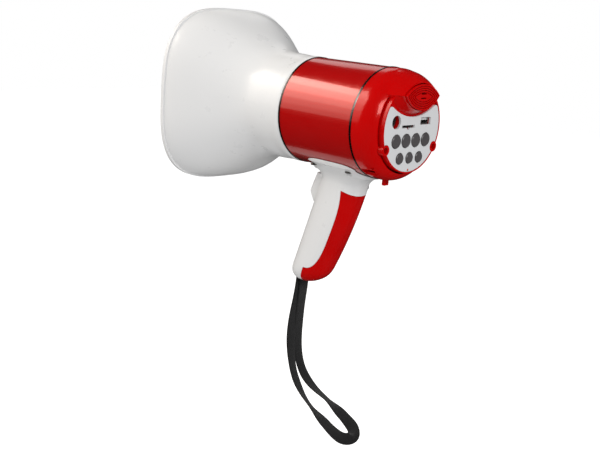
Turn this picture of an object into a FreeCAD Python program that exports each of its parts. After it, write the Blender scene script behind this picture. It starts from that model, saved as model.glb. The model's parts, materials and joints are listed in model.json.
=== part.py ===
import FreeCAD, Part
import math
import os
import re
import Sketcher
from FreeCAD import Placement, Rotation, Vector

# A small handheld megaphone with a folded horn. Millimetres. The origin is the centre of the grip, +Z is up,
# the horn's axis runs along Y at axis_height, the mouth faces -Y and the control panel faces +Y. The plane
# X = 0 is the plane of symmetry.

SIZES = {
    # horn
    "axis_height": 100,
    "neck_radius": 42,
    "neck_front": -23,
    "neck_taper": 0.045,
    "flare_start": -56,
    "flare_depth": 26,
    "lip_back": -127,
    "mouth_y": -130.2,
    "mouth_half_width": 73.5,
    "mouth_squareness": 1.08,
    "horn_wall": 2.2,
    "partition_front": -33,
    "partition_back": -30.5,
    "spigot_radius": 38.9,
    "spigot_wall": 2,
    "spigot_end": -12,
    # folded path
    "reflector_radius": 27,
    "reflector_wall": 1.6,
    "reflector_apex": -91,
    "reflector_length": 44,
    "reflector_dome": 12,
    "throat_bore": 11,
    "throat_radius": 12.8,
    "throat_front_radius": 14.4,
    "throat_front": -76,
    "rib_thickness": 1.6,
    # band, barrel and rings
    "band_radius": 42,
    "barrel_radius": 41.2,
    "barrel_bore": 39,
    "band_front": -21,
    "band_back": 50,
    "ring_width": 2,
    "ring_radius": 42.4,
    # driver
    "driver_front": -28,
    "driver_radius": 33,
    "frame_wall": 2.5,
    "magnet_radius": 28,
    "magnet_length": 9,
    "plate_radius": 26,
    "plate_thickness": 4,
    "pole_radius": 12,
    "coil_bore": 12.6,
    "coil_radius": 13.3,
    "gap_radius": 13.9,
    "diaphragm_radius": 18.8,
    # rear cap and cover
    "cap_front": 52,
    "cap_straight": 6,
    "cap_length": 19.2,
    "cap_rim_radius": 35.6,
    "cap_rim_bore": 34.8,
    "cap_shoulder": 16.4,
    "cap_wall": 2.2,
    "cover_radius": 33.6,
    "cover_front": 69.5,
    "panel_back": 73.4,
    "panel_face": 75,
    "panel_radius": 32.5,
    "bezel_proud": 0.25,
    # microphone
    "tip_height": 24.3,
    "eye_half_width": 19.5,
    "eye_top": 8.5,
    "eye_bottom": 10.3,
    "mic_back": 76.6,
    "mic_face": 82.4,
    "capsule_radius": 4.85,
    "capsule_length": 5.5,
    "boot_radius": 6.6,
    "groove_width": 0.55,
    "groove_pitch": 1.55,
    "groove_depth": 0.6,
    "groove_count": 4,
    # controls
    "large_button_radius": 5,
    "small_button_radius": 4.1,
    "button_gap": 0.35,
    "button_flange": 0.5,
    "button_length": 8,
    "button_stem": 1.6,
    "button_back": 67.9,
    "large_pitch": 11.63,
    "small_pitch": 11.42,
    "large_row": -9.2,
    "small_row": -22.1,
    "large_count": 4,
    "small_count": 3,
    "jack_across": 19.1,
    "jack_up": 4.8,
    "jack_hole": 5,
    "jack_radius": 4.5,
    "jack_bore": 2.8,
    "jack_pin": 1,
    "usb_across": -15.6,
    "usb_up": 4.85,
    "usb_width": 12.3,
    "usb_height": 5.5,
    "card_across": 4.6,
    "card_up": 1.3,
    "card_width": 14.8,
    "card_height": 2,
    "screw_across": 28.6,
    "screw_down": 15.1,
    "boss_radius": 4,
    "led_back": 68.6,
    "led_down": 31.2,
    "led_radius": 0.9,
    "board_front": 61.5,
    "board_thickness": 1.6,
    "board_radius": 31,
    # grip and saddle
    "grip_half_width": 14.5,
    "grip_front": -19.6,
    "grip_front_lean": 0.309,
    "grip_back": 19.8,
    "grip_back_lean": 0.41,
    "grip_back_curve": 0.0016,
    "grip_wall": 2.2,
    "foot_start": -27,
    "foot_end": -41.5,
    "foot_power": 2.4,
    "saddle_front": -11,
    "saddle_back": 49.9,
    "saddle_half_width": 27.2,
    "saddle_fillet": 15.8,
    "saddle_fillet_start": 49,
    "saddle_fillet_top": 57,
    "rake": 20,
    # battery cover and cell
    "cover_gap": 0.25,
    "cell_radius": 9.1,
    "cell_length": 65,
    "cell_offset": 2,
    "cell_bottom": -30,
    # trigger
    "trigger_half_width": 7.5,
    "trigger_gap": 0.4,
    "pin_y": 0.5,
    "pin_z": 48,
    "pin_radius": 1.25,
    "pin_clearance": 0.05,
    "pin_half_length": 10,
    # strap
    "strap_bar_y": -21.8,
    "strap_bar_z": -31.5,
    "strap_bar_radius": 1.5,
    "strap_radius": 1.4,
}

# Corners of the hanging loop, in order, from the bar in the foot down and back up to it.
STRAP_ROUTE = [
    (0.6, -23.4, -33.0),
    (1.0, -23.4, -46.0),
    (2.4, -24.4, -62.0),
    (4.0, -26.0, -80.0),
    (5.2, -25.4, -97.0),
    (6.2, -21.5, -113.4),
    (7.0, -15.0, -128.1),
    (7.6, -1.2, -142.5),
    (8.2, 17.0, -151.0),
    (8.6, 34.0, -158.5),
    (6.6, 44.4, -162.0),
    (-0.6, 49.6, -160.6),
    (-7.2, 44.0, -157.0),
    (-8.4, 33.0, -152.0),
    (-7.3, 14.8, -143.4),
    (-6.2, -4.5, -137.4),
    (-6.0, -17.7, -128.1),
    (-5.2, -23.8, -115.1),
    (-4.5, -26.0, -99.0),
    (-3.8, -25.4, -81.0),
    (-2.4, -23.4, -63.0),
    (-1.0, -20.4, -46.0),
    (-0.6, -20.2, -33.0),
]

# The hood over the microphone: station along Y, half width at the tips' height and top above the horn's axis.
HOOD_COURSE = [
    (59, 34.0, 41.6),
    (66, 30.6, 40.9),
    (72, 26.6, 39.3),
    (77, 22.9, 36.9),
    (80.2, 20.7, 34.7),
]
HOOD_STATIONS = 11

# Levels of the handle's sections: close together where the foot and the saddle curve away.
GRIP_LEVELS = [-41.35, -41, -40.5, -39.8, -38.8, -37.4, -35.6, -33.4, -30.8, -27.5, -23, -17, -9, 0, 9, 18,
               27, 36,
               43, 49, 50, 51, 52, 53, 54, 54.9, 55.7, 56.3, 56.7, 57, 58.3, 59.6, 60.9, 62.1, 63.2, 64.3,
               66, 68]
CORE_LEVELS = [-39.2, -38.8, -38.2, -37.2, -35.6, -33.4, -30.8, -27.5, -23, -17, -9, 0, 9, 18, 27, 36, 46,
               56, 68]

# A section of the horn or the handle is a smooth curve through this many points.
SECTION_POINTS = 40

os.makedirs("parts", exist_ok=True)
doc = FreeCAD.newDocument("Megaphone")
sheet = doc.addObject("Spreadsheet::Sheet", "Sizes")
kept = []


def fill_sheet():
    for row, (alias, number) in enumerate(SIZES.items(), 1):
        sheet.set(f"A{row}", alias)
        sheet.set(f"B{row}", str(number))
        sheet.setAlias(f"B{row}", alias)
    doc.recompute()


def linked(formula):
    """The formula with each size's name pointing at its cell."""
    return re.sub(r"[a-z][a-z_]*", lambda word: "Sizes." + word.group(0), str(formula))


def value(formula):
    return float(sheet.evalExpression(linked(formula)))


def bind(obj, name, formula):
    obj.setExpression(name, linked(formula))


def place(obj, start, rotation=None):
    """Puts an object's origin at three formulas, turned by a rotation."""
    obj.Placement = Placement(Vector(0, 0, 0), rotation or Rotation())
    for letter, formula in zip("xyz", start):
        bind(obj, f"Placement.Base.{letter}", formula)
    return obj


def keep(obj, label=None):
    """Marks an object as a sub-part that gets its own file."""
    obj.Label = label or obj.Name
    kept.append(obj)
    return obj


# ---- shape helpers --------------------------------------------------------------------------------------------

ALONG = {
    "X": Rotation(Vector(0, 1, 0), 90),
    "Y": Rotation(Vector(1, 0, 0), -90),
    "Z": Rotation(),
}
UP_THE_GRIP = Rotation(Vector(1, 0, 0), -SIZES["rake"])


def rod(name, radius, length, start, axis="Y"):
    cylinder = doc.addObject("Part::Cylinder", name)
    bind(cylinder, "Radius", radius)
    bind(cylinder, "Height", length)
    return place(cylinder, start, ALONG[axis])


def block(name, low, high):
    box = doc.addObject("Part::Box", name)
    for size_name, bottom, top in zip(("Length", "Width", "Height"), low, high):
        bind(box, size_name, f"({top}) - ({bottom})")
    return place(box, low)


def join(name, *shapes):
    fused = doc.addObject("Part::MultiFuse", name)
    fused.Shapes = list(shapes)
    return fused


def overlap(name, first, second):
    common = doc.addObject("Part::Common", name)
    common.Base = first
    common.Tool = second
    return common


def cut(name, base, *tools):
    result = doc.addObject("Part::Cut", name)
    result.Base = base
    result.Tool = tools[0] if len(tools) == 1 else join(name + "_tools", *tools)
    return result


def group(name, *solids):
    compound = doc.addObject("Part::Compound", name)
    compound.Links = list(solids)
    return compound


def free_shape(name, shape):
    feature = doc.addObject("Part::Feature", name)
    feature.Shape = shape
    return feature


def origin_plane(body, role):
    return next(item for item in body.Origin.OriginFeatures if item.Role == role)


def outline_sketch(body, corners):
    """A closed outline in the body's XZ plane. A corner is (across, up), or (across, up, radius) where the
    side that leaves it is an arc: a positive radius has its centre on the left of the way along."""
    sketch = body.newObject("Sketcher::SketchObject", body.Name + "_outline")
    sketch.AttachmentSupport = [(origin_plane(body, "XZ_Plane"), "")]
    sketch.MapMode = "FlatFace"
    points = [Vector(value(corner[0]), value(corner[1]), 0) for corner in corners]
    starts = []
    for number, corner in enumerate(corners):
        begin = points[number]
        end = points[(number + 1) % len(points)]
        if len(corner) == 2:
            sketch.addGeometry(Part.LineSegment(begin, end))
            starts.append((number, 1, 2))
            continue
        radius = value(corner[2])
        half = (end - begin) * 0.5
        left = Vector(-half.y, half.x, 0).normalize()
        reach = math.sqrt(radius ** 2 - half.Length ** 2) * math.copysign(1, radius)
        centre = begin + half + left * reach
        first, last = (begin, end) if radius > 0 else (end, begin)
        circle = Part.Circle(centre, Vector(0, 0, 1), abs(radius))
        angles = [math.atan2(point.y - centre.y, point.x - centre.x) for point in (first, last)]
        sketch.addGeometry(Part.ArcOfCircle(circle, *angles))
        starts.append((number, 1, 2) if radius > 0 else (number, 2, 1))
    for (edge, begin, end), (after, next_begin, _) in zip(starts, starts[1:] + starts[:1]):
        sketch.addConstraint(Sketcher.Constraint("Coincident", edge, end, after, next_begin))
    for (edge, begin, _), corner, point in zip(starts, corners, points):
        for direction, formula, distance in (("X", corner[0], point.x), ("Y", corner[1], point.y)):
            if abs(distance) < 1e-9:
                line = -2 if direction == "X" else -1
                sketch.addConstraint(Sketcher.Constraint("PointOnObject", edge, begin, line))
                continue
            kind = "Distance" + direction
            index = sketch.addConstraint(Sketcher.Constraint(kind, -1, 1, edge, begin, distance))
            bind(sketch, f"Constraints[{index}]", formula)
        if len(corner) == 3:
            index = sketch.addConstraint(Sketcher.Constraint("Radius", edge, abs(value(corner[2]))))
            bind(sketch, f"Constraints[{index}]", corner[2].lstrip("-"))
    return sketch


def lathe(name, corners, start, rotation=ALONG["Y"]):
    """A body turned about its own Z from (radius, height) corners, then laid along Y."""
    body = doc.addObject("PartDesign::Body", name)
    sketch = outline_sketch(body, corners)
    turned = body.newObject("PartDesign::Revolution", name + "_turned")
    turned.Profile = sketch
    turned.ReferenceAxis = (sketch, ["V_Axis"])
    turned.Angle = 360
    body.Tip = turned
    return place(body, start, rotation)


def tube_outline(bore, radius, length):
    return [(bore, 0), (radius, 0), (radius, length), (bore, length)]


def closed_curve(points):
    curve = Part.BSplineCurve()
    curve.interpolate(Points=points, PeriodicFlag=True)
    return Part.Wire(curve.toShape())


def rounded_ring(half_across, half_up, power):
    """Points of a rounded rectangle from a circle, at power 2, towards a square."""
    ring = []
    for step in range(SECTION_POINTS):
        turn = 2 * math.pi * step / SECTION_POINTS
        across, up = math.cos(turn), math.sin(turn)
        reach = (abs(across) ** power + abs(up) ** power) ** (-1 / power)
        ring.append((half_across * reach * across, half_up * reach * up))
    return ring


def tube_along(points, radius):
    """Straight runs joined by tangent arcs, swept with a round section. Returns the solid and the arcs' radii."""
    corners = [Vector(*point) for point in points]
    edges, radii = [], []
    here = corners[0]
    for before, corner, after in zip(corners, corners[1:], corners[2:]):
        back = before - corner
        ahead = after - corner
        turn = math.pi - back.getAngle(ahead)
        reach = 0.45 * min(back.Length, ahead.Length)
        bend = reach / math.tan(turn / 2)
        start = corner + back.normalize() * reach
        end = corner + ahead.normalize() * reach
        inward = (back + ahead).normalize()
        centre_gap = bend / math.cos(turn / 2)
        middle = corner + inward * (centre_gap - bend)
        edges.append(Part.LineSegment(here, start).toShape())
        edges.append(Part.Arc(start, middle, end).toShape())
        radii.append(bend)
        here = end
    edges.append(Part.LineSegment(here, corners[-1]).toShape())
    path = Part.Wire(edges)
    circle = Part.Circle(corners[0], corners[1] - corners[0], radius).toShape()
    return path.makePipeShell([Part.Wire(circle)], True, False), path.Length, radii


# ---- horn -----------------------------------------------------------------------------------------------------

def horn_half_width(station):
    """Half the width of the flare at a station along Y: a slight taper, then one smooth step outwards."""
    start, mouth = value("flare_start"), value("mouth_y")
    taper = value("neck_taper") * (value("neck_front") - station)
    way = min(max((start - station) / (start - mouth), 0), 1)
    return value("neck_radius") + taper + value("flare_depth") * way * way * (3 - 2 * way)


def horn_section(station, inset):
    start, mouth = value("flare_start"), value("mouth_y")
    way = min(max((start - station) / (start - mouth), 0), 1)
    half = horn_half_width(station) - inset
    ring = rounded_ring(half, half, 2 + value("mouth_squareness") * way)
    return closed_curve([Vector(x, station, value("axis_height") + z) for x, z in ring])


def horn_flare(inset, front, back, count=13):
    stations = [back + (front - back) * step / (count - 1) for step in range(count)]
    return Part.makeLoft([horn_section(station, inset) for station in stations], True, False)


def horn_lip(inset, front, back):
    half = value("mouth_half_width") - inset
    sections = []
    for station in (back, front):
        ring = rounded_ring(half, half, 2 + value("mouth_squareness"))
        sections.append(closed_curve([Vector(x, station, value("axis_height") + z) for x, z in ring]))
    return Part.makeLoft(sections, True, True)


def make_horn():
    mouth, lip, neck, wall = value("mouth_y"), value("lip_back"), value("neck_front"), value("horn_wall")
    outside = horn_flare(0, lip, neck).fuse(horn_lip(0, mouth, lip))
    inside = horn_flare(wall, mouth - 1, neck + 1)
    keep(free_shape("horn", outside.cut(inside)))


def make_driver_mount():
    """The plate across the neck that carries the throat tube and driver, with the spigot the band slips over."""
    plate = rod("mount_plate", "neck_radius - horn_wall + 0.3", "partition_back - partition_front",
                ("0", "partition_front", "axis_height"))
    plate_hole = rod("mount_plate_hole", "throat_radius + 0.1", "10",
                     ("0", "partition_front - 3", "axis_height"))
    spigot = rod("mount_spigot", "spigot_radius", "spigot_end - partition_back + 1",
                 ("0", "partition_back - 1", "axis_height"))
    spigot_bore = rod("mount_spigot_bore", "spigot_radius - spigot_wall", "spigot_end - partition_back + 4",
                      ("0", "partition_back", "axis_height"))
    keep(cut("driver_mount", join("mount_blank", plate, spigot), plate_hole, spigot_bore))


def make_reflector():
    cup = lathe("reflector_cup", [
        ("0", "0", "32"),
        ("reflector_radius", "reflector_dome"),
        ("reflector_radius", "reflector_length"),
        ("reflector_radius - reflector_wall", "reflector_length"),
        ("reflector_radius - reflector_wall", "reflector_dome + 1", "-32"),
        ("0", "reflector_wall + 0.8"),
    ], ("0", "reflector_apex", "axis_height"))
    sleeve_outline = [
        ("throat_front_radius", "17"),
        ("throat_front_radius + rib_thickness", "17"),
        ("throat_front_radius + rib_thickness", "35"),
        ("throat_front_radius", "35"),
    ]
    sleeve = lathe("reflector_sleeve", sleeve_outline, ("0", "reflector_apex", "axis_height"))
    ribs = []
    for number in range(3):
        rib = doc.addObject("Part::Box", f"reflector_rib_{number}")
        bind(rib, "Length", "rib_thickness")
        bind(rib, "Width", "17")
        bind(rib, "Height", "reflector_radius - reflector_wall - throat_front_radius")
        angle = 90 + 120 * number
        turn = Rotation(Vector(0, 1, 0), angle)
        corner = turn.multVec(Vector(-value("rib_thickness") / 2, 0, value("throat_front_radius + 0.8")))
        rib.Placement = Placement(Vector(corner.x, value("reflector_apex + 17.5"),
                                         value("axis_height") + corner.z), turn)
        ribs.append(rib)
    keep(join("horn_reflector", cup, sleeve, *ribs))


def make_throat_tube():
    keep(lathe("throat_tube", [
        ("throat_bore + 1.9", "0"),
        ("throat_front_radius", "0"),
        ("throat_front_radius", "22"),
        ("throat_radius", "partition_front - throat_front"),
        ("throat_radius", "partition_back - throat_front"),
        ("20", "partition_back - throat_front"),
        ("20", "driver_front - throat_front"),
        ("throat_bore - 0.6", "driver_front - throat_front"),
    ], ("0", "throat_front", "axis_height")))


# ---- band and rings -------------------------------------------------------------------------------------------

def screw_spots():
    """Where the saddle's four screws rise into the barrel."""
    return [(side * 19, along) for side in (-1, 1) for along in (-2, 34)]


def make_barrel(name, bore, radius):
    start = ("0", "band_front", "axis_height")
    outside = rod(name + "_outside", radius, "band_back - band_front", start)
    inside = rod(name + "_inside", bore, "band_back - band_front", start)
    holes = [rod(f"{name}_hole_{number}", "1.4", "20", (str(x), str(y), "55"), "Z")
             for number, (x, y) in enumerate(screw_spots())]
    wires = rod(name + "_wires", "4", "14", ("0", "20", "50"), "Z")
    keep(cut(name, outside, inside, wires, *holes))


def make_ring(name, start):
    keep(lathe(name, [
        ("spigot_radius + 0.3", "0"),
        ("ring_radius - 0.5", "0"),
        ("ring_radius", "0.5"),
        ("ring_radius", "ring_width - 0.5"),
        ("ring_radius - 0.5", "ring_width"),
        ("spigot_radius + 0.3", "ring_width"),
    ], ("0", start, "axis_height")))


# ---- driver ---------------------------------------------------------------------------------------------------

def driver_lathe(name, corners):
    return keep(lathe(name, corners, ("0", "driver_front", "axis_height")))


def make_driver():
    gasket_start = ("0", "partition_back", "axis_height")
    keep(lathe("driver_gasket", tube_outline("20.6", "driver_radius", "driver_front - partition_back"),
               gasket_start))
    frame = lathe("driver_frame_body", [
        ("throat_bore", "0"),
        ("driver_radius", "0"),
        ("driver_radius", "10"),
        ("diaphragm_radius + 0.7", "10"),
        ("diaphragm_radius + 0.7", "8"),
        ("driver_radius - frame_wall", "8"),
        ("driver_radius - frame_wall", "frame_wall"),
        ("throat_bore", "frame_wall"),
    ], ("0", "driver_front", "axis_height"))
    drills, screws = [], []
    for number in range(4):
        angle = math.radians(45 + 90 * number)
        x, z = 31.6 * math.cos(angle), 31.6 * math.sin(angle)
        spot = (f"{x:.3f}", "driver_front - 4", f"axis_height + {z:.3f}")
        drills.append(rod(f"driver_drill_{number}", "0.85", "16", spot))
        shank = rod(f"driver_shank_{number}", "0.8", "11", (spot[0], "driver_front + 0.05", spot[2]))
        head = rod(f"driver_head_{number}", "1.3", "1.2", (spot[0], "driver_front + 10.05", spot[2]))
        screws.append(join(f"driver_screw_{number}", shank, head))
    keep(cut("driver_frame", frame, *drills))
    keep(group("driver_screws", *screws))
    driver_lathe("driver_top_plate", [
        ("gap_radius", "10"),
        ("plate_radius", "10"),
        ("plate_radius", "10 + plate_thickness"),
        ("gap_radius", "10 + plate_thickness"),
    ])
    driver_lathe("driver_magnet", [
        ("gap_radius + 1.1", "14"),
        ("magnet_radius", "14"),
        ("magnet_radius", "14 + magnet_length"),
        ("gap_radius + 1.1", "14 + magnet_length"),
    ])
    driver_lathe("driver_back_plate", [
        ("0", "10"),
        ("pole_radius", "10"),
        ("pole_radius", "14 + magnet_length"),
        ("plate_radius", "14 + magnet_length"),
        ("plate_radius", "14 + magnet_length + plate_thickness"),
        ("0", "14 + magnet_length + plate_thickness"),
    ])
    driver_lathe("diaphragm", [
        ("0", "3.3", "34"),
        ("coil_radius + 0.5", "6.4"),
        ("diaphragm_radius", "6.6"),
        ("diaphragm_radius", "7"),
        ("coil_bore", "7"),
        ("coil_bore", "6.8", "-34"),
        ("0", "3.7"),
    ])
    driver_lathe("voice_coil", [
        ("coil_bore", "7"),
        ("coil_radius", "7"),
        ("coil_radius", "15"),
        ("coil_bore", "15"),
    ])


# ---- rear cap -------------------------------------------------------------------------------------------------

def arc_face_wire(station, half_width, tip, far):
    """A closed wire: an arc through both tips and a far point, closed by the straight line between the tips."""
    height = value("axis_height")
    left = Vector(-half_width, station, height + tip)
    right = Vector(half_width, station, height + tip)
    edge = Part.Arc(left, Vector(0, station, height + far), right).toShape()
    return Part.Wire([edge, Part.LineSegment(right, left).toShape()])


def make_hood(name, inset, front, back):
    """The raised hood over the microphone: it grows out of the cap and narrows towards the eye."""
    tip = value("tip_height")
    course = Part.BSplineCurve()
    course.interpolate([Vector(*corner) for corner in HOOD_COURSE])
    stations = course.discretize(HOOD_STATIONS)
    stations[0].x += front
    stations[-1].x += back
    wires = [arc_face_wire(station, half_width - inset, tip, top - inset) for station, half_width,
             top in stations]
    return free_shape(name, Part.makeLoft(wires, True, True))


def make_rear_cap():
    shell = lathe("rear_cap_shell", [
        ("spigot_radius - spigot_wall", "0"),
        ("spigot_radius", "0"),
        ("spigot_radius", "8"),
        ("band_radius", "8"),
        ("band_radius", "8 + cap_straight", "cap_shoulder"),
        ("cap_rim_radius", "8 + cap_length"),
        ("cap_rim_bore", "8 + cap_length"),
        ("cap_rim_bore", "6.4 + cap_length", "-(cap_shoulder - 2)"),
        ("band_radius - cap_wall", "7 + cap_straight"),
        ("band_radius - cap_wall", "10"),
        ("spigot_radius - spigot_wall", "9"),
    ], ("0", "cap_front - 8", "axis_height"))
    hood = make_hood("rear_cap_hood", 0, 0, 0)
    hood_room = make_hood("rear_cap_hood_room", value("cap_wall") - 0.4, -2, 1)
    lug_low = ("-2.6", "cap_front + 2.2", "axis_height - band_radius - 4.6")
    lug = block("rear_cap_lug", lug_low, ("2.6", "cap_front + 4.6", "axis_height - band_radius + 1"))
    lug_eye = rod("rear_cap_lug_eye", "1.1", "6", ("0", "cap_front + 1", "axis_height - band_radius - 2.4"))
    pockets = []
    for side in (-1, 1):
        low = (f"{min(20 * side, 31 * side)}", "cap_front + 0.8", "axis_height - 44")
        high = (f"{max(20 * side, 31 * side)}", "cap_front + 12", "axis_height - 32")
        pockets.append(block(f"rear_cap_pocket_{side + 1}", low, high))
    floors = []
    for side in (-1, 1):
        low = (f"{min(19 * side, 31 * side)}", "cap_front", "axis_height - 32")
        high = (f"{max(19 * side, 31 * side)}", "cap_front + 13", "axis_height - 30.6")
        floors.append(block(f"rear_cap_floor_{side + 1}", low, high))
    inner_round = rod("rear_cap_round", "band_radius - 0.4", "14", ("0", "cap_front", "axis_height"))
    floor = overlap("rear_cap_pocket_floors", join("rear_cap_floors", *floors), inner_round)
    boss_rooms = []
    for side in (-1, 1):
        spot = (f"{side} * screw_across", "cover_front - 1", "axis_height - screw_down")
        boss_rooms.append(rod(f"rear_cap_boss_room_{side + 1}", "boss_radius + 0.1", "10", spot))
    solid = join("rear_cap_outside", shell, hood, lug, floor)
    keep(cut("rear_cap", solid, hood_room, lug_eye, *pockets, *boss_rooms))


# ---- rear cover, microphone and panel ---------------------------------------------------------------------------

def button_spots():
    """Name, across, up and radius of each push button, seen from behind, left to right."""
    rows = [("large", "large_button_radius"), ("small", "small_button_radius")]
    spots = []
    for row, radius in rows:
        count = int(value(row + "_count"))
        for number in range(count):
            offset = (count - 1) / 2 - number
            spots.append((f"button_{row}_{number + 1}", f"{offset} * {row}_pitch", f"{row}_row", radius))
    return spots


def panel_cutters(prefix, back, length, grow):
    """Through holes for the sockets and the lamp, shared by the panel and the cover behind it."""
    tools = [rod(prefix + "_jack_hole", f"jack_hole + {grow}", length,
                 ("jack_across", back, "axis_height + jack_up")),
             rod(prefix + "_led_hole", f"led_radius + 0.1 + {grow}", length,
                 ("0", back, "axis_height - led_down"))]
    for socket in ("usb", "card"):
        low = (f"{socket}_across - {socket}_width / 2 - {grow}", back,
               f"axis_height + {socket}_up - {socket}_height / 2 - {grow}")
        high = (f"{socket}_across + {socket}_width / 2 + {grow}", f"{back} + {length}",
                f"axis_height + {socket}_up + {socket}_height / 2 + {grow}")
        tools.append(block(f"{prefix}_{socket}_hole", low, high))
    tools.append(rod(prefix + "_thumb_notch", f"1.7 + {grow}", length,
                     ("card_across", back, "axis_height + card_up - card_height / 2 + 0.2")))
    return tools


def make_control_panel():
    back = "panel_back"
    plate = rod("panel_disc", "panel_radius", "panel_face - panel_back", ("0", back, "axis_height"))
    tools = panel_cutters("panel", "panel_back - 1", "4", "0")
    tools.append(rod("panel_scoop", "44", "4", ("0", "panel_back - 1", "axis_height + 52.3")))
    for side in (-1, 1):
        spot = (f"{side} * screw_across", "panel_back - 1", "axis_height - screw_down")
        tools.append(rod(f"panel_notch_{side + 1}", "boss_radius + 0.15", "4", spot))
    for name, across, up, radius in button_spots():
        tools.append(rod("panel_" + name, f"{radius} + button_gap", "4",
                         (across, "panel_back - 1", f"axis_height + {up}")))
    sharp = cut("panel_sharp", plate, *tools)
    doc.recompute()
    rounded = doc.addObject("Part::Fillet", "control_panel")
    rounded.Base = sharp
    corners = []
    for number, edge in enumerate(sharp.Shape.Edges, 1):
        middle = edge.CenterOfMass
        upright = edge.BoundBox.YLength > 1.5 and edge.BoundBox.XLength < 0.01
        if upright and middle.z > value("axis_height") + 12 and abs(middle.x) > 20:
            corners.append((number, 3.2, 3.2))
    rounded.Edges = corners
    keep(rounded)


def eye_prism(name, inset, start, length):
    """A prism whose section is an eye: the overlap of two round rods of unequal radius."""
    rods = []
    for side, reach in ((1, "eye_top"), (-1, "eye_bottom")):
        radius = f"((eye_half_width * eye_half_width + {reach} * {reach}) / (2 * {reach}))"
        centre = f"axis_height + tip_height + {side} * ({reach} - {radius})"
        rods.append(rod(f"{name}_{reach}", f"{radius} - ({inset})", length, ("0", start, centre)))
    return overlap(name, *rods)


def make_mic_head():
    body = eye_prism("mic_head_blank", "0", "mic_back", "mic_face - mic_back")
    tools = []
    for number in range(int(value("groove_count"))):
        inset = f"1.1 + {number} * groove_pitch"
        outer = eye_prism(f"mic_groove_{number}_out", inset, "mic_face - groove_depth", "2")
        inner = eye_prism(f"mic_groove_{number}_in", f"{inset} + groove_width",
                          "mic_face - groove_depth - 1", "4")
        tools.append(cut(f"mic_groove_{number}", outer, inner))
    for side in (-1, 1):
        low = ("-3", "mic_back - 1", f"axis_height + tip_height + {side} * 1.6 - 0.45")
        high = ("3", "mic_face + 1", f"axis_height + tip_height + {side} * 1.6 + 0.45")
        tools.append(block(f"mic_slot_{side + 1}", low, high))
    tools.append(rod("mic_head_seat", "boot_radius + 0.1", "2.4",
                     ("0", "mic_back - 1", "axis_height + tip_height")))
    keep(cut("mic_head", body, *tools))
    start = "mic_back + 1.2 - capsule_length"
    keep(rod("mic_capsule", "capsule_radius", "capsule_length", ("0", start, "axis_height + tip_height")))
    keep(lathe("mic_boot", tube_outline("capsule_radius", "boot_radius", "capsule_length"),
               ("0", start, "axis_height + tip_height")))


def make_rear_cover():
    height, tip = value("axis_height"), value("tip_height")
    cup = lathe("rear_cover_cup", [
        ("0", "cover_front - 60"),
        ("cover_radius - 2", "cover_front - 60"),
        ("cover_radius - 2", "0"),
        ("cover_radius + 2.4", "0"),
        ("cover_radius + 2.4", "1.6"),
        ("cover_radius", "1.6"),
        ("cover_radius", "panel_face + bezel_proud - 60"),
        ("panel_radius + 0.15", "panel_face + bezel_proud - 60"),
        ("panel_radius + 0.15", "panel_back - 60"),
        ("0", "panel_back - 60"),
    ], ("0", "60", "axis_height"))
    sections = [(70.5, 27.4, 8.9), (value("panel_face"), 24.4, 10.4), (value("mic_back"), 22.6, 11.4)]
    wires = [arc_face_wire(station, half, tip, low) for station, half, low in sections]
    wires.append(arc_face_wire(value("mic_back") + 4, 20.4, tip, 13.4))
    chin = free_shape("rear_cover_chin", Part.makeLoft(wires, True, False))
    bosses = []
    for side in (-1, 1):
        spot = (f"{side} * screw_across", "cover_front", "axis_height - screw_down")
        bosses.append(rod(f"rear_cover_boss_{side + 1}", "boss_radius", "panel_face - cover_front + 0.2",
                          spot))
    solid = join("rear_cover_solid", cup, chin, *bosses)
    tools = panel_cutters("cover", "cover_front - 1", "8", "0.3")
    for side in (-1, 1):
        spot = (f"{side} * screw_across", "59", "axis_height - screw_down")
        tools.append(rod(f"rear_cover_drill_{side + 1}", "1.2", "14", spot))
        spot = (spot[0], "cover_front + 0.5", spot[2])
        tools.append(rod(f"rear_cover_sink_{side + 1}", "2.3", "8", spot))
    for row, radius in (("large", "large_button_radius"), ("small", "small_button_radius")):
        reach = f"(({row}_count - 1) / 2 * {row}_pitch + {radius} + 1)"
        low = (f"0 - {reach}", "cover_front - 1", f"axis_height + {row}_row - {radius} - 1")
        high = (reach, "panel_back + 0.01", f"axis_height + {row}_row + {radius} + 1")
        tools.append(block(f"rear_cover_{row}_window", low, high))
    tools.append(rod("rear_cover_mic_room", "boot_radius + 0.2", "20",
                     ("0", "60", "axis_height + tip_height")))
    tools.append(eye_prism("rear_cover_mic_seat", "-0.15", "mic_back", "20"))
    tools.append(block("rear_cover_top", ("-50", "59", "axis_height + tip_height"),
                       ("50", "90", "axis_height + 60")))
    keep(cut("rear_cover", solid, *tools))


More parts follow.
